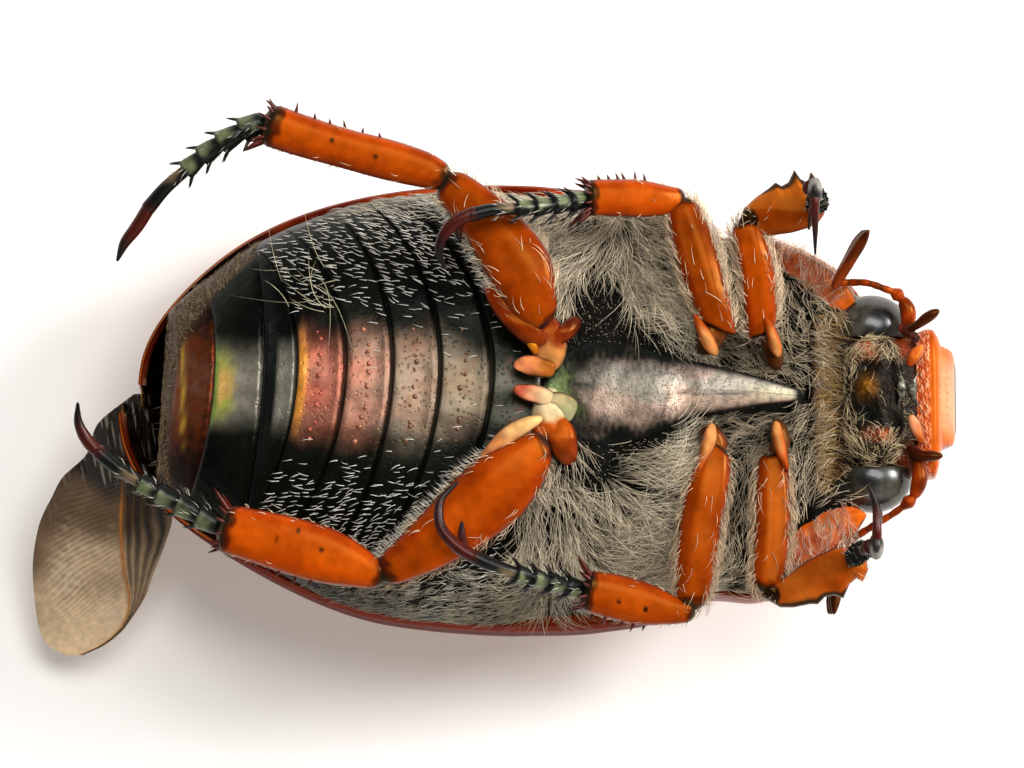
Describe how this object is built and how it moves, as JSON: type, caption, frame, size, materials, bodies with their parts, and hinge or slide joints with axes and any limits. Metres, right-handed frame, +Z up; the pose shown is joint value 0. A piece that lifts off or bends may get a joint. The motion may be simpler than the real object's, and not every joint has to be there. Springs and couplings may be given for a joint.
{
  "type": "washerwoman christmas beetle model",
  "caption": "Life-size still model of a washerwoman christmas beetle lying on its back with its legs raised and a folded hindwing showing past the wing cases.",
  "frame": {"origin": "middle of the bounding box, on the floor that the back rests on", "axes": "+X towards the head, +Y to the animal's right side, +Z up, the way the belly faces"},
  "size_m": [0.028, 0.017, 0.0129],
  "materials": {
    "shell": "gloss",
    "green": "gloss",
    "wool": "matte",
    "orange": "gloss",
    "dark": "satin",
    "eye": "gloss",
    "wing": "satin"
  },
  "bodies": {
    "root": {"abdomen": "green", "antenna_club_left": "dark", "antenna_club_right": "dark", "antenna_left": "orange", "antenna_right": "orange", "claws_front_left": "dark", "claws_front_right": "dark", "claws_hind_left": "dark", "claws_hind_right": "dark", "claws_middle_left": "dark", "claws_middle_right": "dark", "clypeus": "orange", "coxa_front_left": "orange", "coxa_front_right": "orange", "coxa_hind_left": "orange", "coxa_hind_right": "orange", "coxa_middle_left": "orange", "coxa_middle_right": "orange", "elytron_left": "shell", "elytron_right": "shell", "eye_left": "eye", "eye_right": "eye", "femur_front_left": "orange", "femur_front_right": "orange", "femur_hind_left": "orange", "femur_hind_right": "orange", "femur_middle_left": "orange", "femur_middle_right": "orange", "head": "dark", "hindwing_left": "wing", "metathorax": "wool", "mouthparts": "dark", "palp_left": "dark", "palp_right": "dark", "pronotum": "shell", "prosternum": "wool", "pygidium": "green", "scutellum": "shell", "tarsus_front_left": "dark", "tarsus_front_right": "dark", "tarsus_hind_left": "dark", "tarsus_hind_right": "dark", "tarsus_middle_left": "dark", "tarsus_middle_right": "dark", "tibia_front_left": "orange", "tibia_front_right": "orange", "tibia_hind_left": "orange", "tibia_hind_right": "orange", "tibia_middle_left": "orange", "tibia_middle_right": "orange"}
  },
  "joints": []
}
